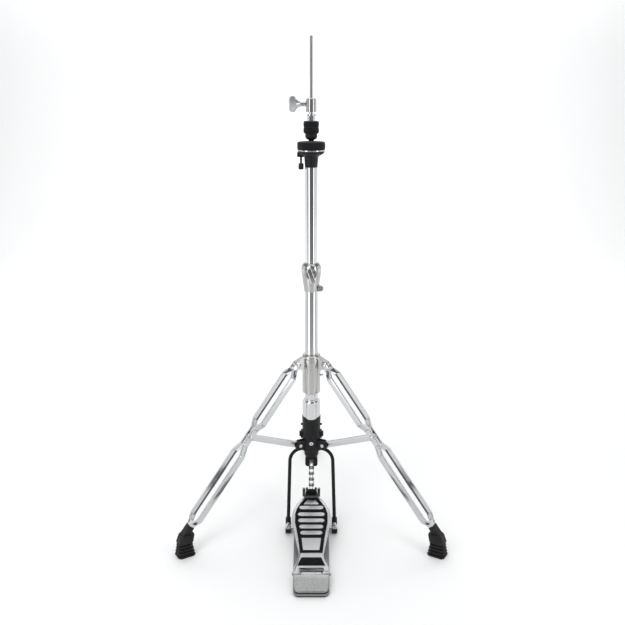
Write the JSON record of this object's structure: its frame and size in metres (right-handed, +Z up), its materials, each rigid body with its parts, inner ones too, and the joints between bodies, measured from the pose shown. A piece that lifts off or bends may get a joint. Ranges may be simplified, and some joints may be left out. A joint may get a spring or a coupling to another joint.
{
  "type": "hi-hat stand",
  "caption": "Hi-hat stand with a folding tripod, a telescopic column, a spring-loaded pull rod, a clutch and a chain-driven foot pedal.",
  "frame": {"origin": "on the floor, in the middle of the footprint; the column stands 12 mm in front of it", "axes": "+Z up the column, -Y towards the player, +X to the player's right"},
  "size_m": [0.5922, 0.6395, 1.069],
  "materials": {
    "chrome_tube": "polished chrome plate on drawn steel tube",
    "cast_chrome": "chrome plated die casting",
    "bright_steel": "plated steel hardware",
    "leg_chrome": "chrome plated pressed sheet",
    "pull_rod_steel": "drawn steel rod",
    "spring_steel": "oiled spring wire",
    "base_steel": "zinc plated sheet",
    "board_metal": "satin cast aluminium",
    "badge_metal": "brushed plate",
    "black_casting": "black powder coat",
    "black_rod": "black enamel",
    "black_steel": "blackened steel",
    "chain_black": "blackened link plates",
    "rubber": "moulded rubber",
    "grip_black": "textured grip coat",
    "felt_black": "pressed wool felt",
    "black_plastic": "moulded nylon",
    "white_nylon": "guide bush nylon"
  },
  "bodies": {
    "stand": {"lower_tube": "chrome_tube", "tube_sleeve": "chrome_tube", "base_casting": "black_casting", "casting_screws": "black_steel", "stretcher_pivot_pins": "bright_steel", "frame_rod": "black_rod", "frame_rod_screw": "bright_steel", "spur_blocks": "black_casting", "frame_pivot_pins": "bright_steel", "base_plate": "base_steel", "base_rubber": "rubber", "heel_plate": "board_metal", "heel_plate_rivets": "bright_steel", "hinge_pin": "bright_steel", "height_clamp": "cast_chrome", "clamp_bushing": "black_plastic", "clamp_pinch_screw": "bright_steel", "rod_guide_bush": "white_nylon", "return_spring": "spring_steel"},
    "pedal": {"footboard": "board_metal", "footboard_grip": "grip_black", "footboard_badge": "badge_metal", "toe_bracket": "base_steel", "toe_clamp": "black_steel", "toe_screws": "bright_steel"},
    "rod": {"upper_pull_rod": "pull_rod_steel", "lower_pull_rod": "pull_rod_steel", "rod_coupler": "pull_rod_steel", "spring_collar": "spring_steel", "chain_clevis": "black_steel", "clevis_pin": "bright_steel"},
    "chain": {"chain_plates": "chain_black", "chain_pins": "bright_steel"},
    "upper": {"upper_tube": "chrome_tube", "seat_tilter": "black_casting", "tilter_bush": "white_nylon", "seat_pivot_pin": "bright_steel"},
    "seat": {"seat_plate": "bright_steel", "seat_felt": "felt_black"},
    "tilt_screw": {"tilt_screw": "black_plastic"},
    "clutch": {"clutch_body": "cast_chrome", "clutch_tube": "bright_steel", "clutch_lock_nuts": "bright_steel", "clutch_felts": "felt_black", "clutch_bottom_nut": "black_plastic"},
    "clutch_wing": {"clutch_wing_screw": "bright_steel"},
    "clamp_wing": {"clamp_wing_bolt": "bright_steel"},
    "hub": {"leg_hub": "cast_chrome", "hub_key_screw": "bright_steel"},
    "spur_left": {"spur_left": "bright_steel"},
    "spur_right": {"spur_right": "bright_steel"},
    "leg_left": {"leg_left": "leg_chrome", "foot_left": "rubber"},
    "stretcher_left": {"stretcher_left": "leg_chrome"},
    "leg_right": {"leg_right": "leg_chrome", "foot_right": "rubber"},
    "stretcher_right": {"stretcher_right": "leg_chrome"},
    "leg_rear": {"leg_rear": "leg_chrome", "foot_rear": "rubber"},
    "stretcher_rear": {"stretcher_rear": "leg_chrome"}
  },
  "joints": [
    {"name": "pedal_hinge", "type": "hinge", "parent": "stand", "child": "pedal", "pos_m": [0, -0.262, 0.016], "axis": [-1, 0, 0], "range_deg": [0, 7]},
    {"name": "rod_slide", "type": "slide", "parent": "stand", "child": "rod", "axis": [0, 0, -1], "range_m": [0, 0.02998], "stiffness_N_per_m": 900, "springref_m": -0.03, "deforming": ["return_spring"]},
    {"name": "chain_hinge", "type": "hinge", "parent": "rod", "child": "chain", "pos_m": [0, -0.012, 0.13843], "axis": [1, 0, 0], "range_deg": [0, 3.6]},
    {"name": "upper_tube_slide", "type": "slide", "parent": "stand", "child": "upper", "axis": [0, 0, 1], "range_m": [-0.12, 0.05]},
    {"name": "seat_tilt", "type": "hinge", "parent": "upper", "child": "seat", "pos_m": [0.012, -0.012, 0.842], "axis": [0, 1, 0], "range_deg": [0, 3]},
    {"name": "tilt_screw_travel", "type": "slide", "parent": "upper", "child": "tilt_screw", "axis": [0, 0, 1], "range_m": [0, 0.00175]},
    {"name": "clutch_slide", "type": "slide", "parent": "upper", "child": "clutch", "axis": [0, 0, 1], "range_m": [0, 0.06]},
    {"name": "clutch_wing_turn", "type": "hinge", "parent": "clutch", "child": "clutch_wing", "pos_m": [-0.02, -0.012, 0.9385], "axis": [1, 0, 0], "range_deg": [-180, 180]},
    {"name": "clamp_wing_turn", "type": "hinge", "parent": "stand", "child": "clamp_wing", "pos_m": [0, -0.047, 0.592], "axis": [0, 1, 0], "range_deg": [-180, 180]},
    {"name": "hub_slide", "type": "slide", "parent": "stand", "child": "hub", "axis": [0, 0, 1], "range_m": [0, 0.11]},
    {"name": "leg_left_fold", "type": "hinge", "parent": "hub", "child": "leg_left", "pos_m": [-0.03204, -0.0305, 0.386], "axis": [0.5, -0.866, 0], "range_deg": [0, 25.01]},
    {"name": "stretcher_left_swing", "type": "hinge", "parent": "stand", "child": "stretcher_left", "pos_m": [-0.02771, -0.028, 0.19], "axis": [-0.5, 0.866, 0], "range_deg": [0, 45.03]},
    {"name": "leg_right_fold", "type": "hinge", "parent": "hub", "child": "leg_right", "pos_m": [0.03204, -0.0305, 0.386], "axis": [0.5, 0.866, 0], "range_deg": [0, 25.01]},
    {"name": "stretcher_right_swing", "type": "hinge", "parent": "stand", "child": "stretcher_right", "pos_m": [0.02771, -0.028, 0.19], "axis": [-0.5, -0.866, 0], "range_deg": [0, 45.03]},
    {"name": "leg_rear_fold", "type": "hinge", "parent": "hub", "child": "leg_rear", "pos_m": [0, 0.025, 0.386], "axis": [-1, 0, 0], "range_deg": [0, 25.01]},
    {"name": "stretcher_rear_swing", "type": "hinge", "parent": "stand", "child": "stretcher_rear", "pos_m": [0, 0.02, 0.19], "axis": [1, 0, 0], "range_deg": [0, 45.03]},
    {"name": "spur_left_screw", "type": "slide", "parent": "stand", "child": "spur_left", "axis": [0, 0, 1], "range_m": [0, 0.01]},
    {"name": "spur_right_screw", "type": "slide", "parent": "stand", "child": "spur_right", "axis": [0, 0, 1], "range_m": [0, 0.01]}
  ],
  "couplings": [
    {"joint": "rod_slide", "follows": "pedal_hinge", "m_per_rad": 0.2446},
    {"joint": "chain_hinge", "follows": "pedal_hinge", "ratio": 0.50662},
    {"joint": "tilt_screw_travel", "follows": "seat_tilt", "m_per_rad": 0.033},
    {"joint": "leg_left_fold", "follows": "hub_slide", "rad_per_m": 3.9603},
    {"joint": "stretcher_left_swing", "follows": "hub_slide", "rad_per_m": 7.1374},
    {"joint": "leg_right_fold", "follows": "hub_slide", "rad_per_m": 3.9603},
    {"joint": "stretcher_right_swing", "follows": "hub_slide", "rad_per_m": 7.1374},
    {"joint": "leg_rear_fold", "follows": "hub_slide", "rad_per_m": 3.9603},
    {"joint": "stretcher_rear_swing", "follows": "hub_slide", "rad_per_m": 7.1374}
  ]
}
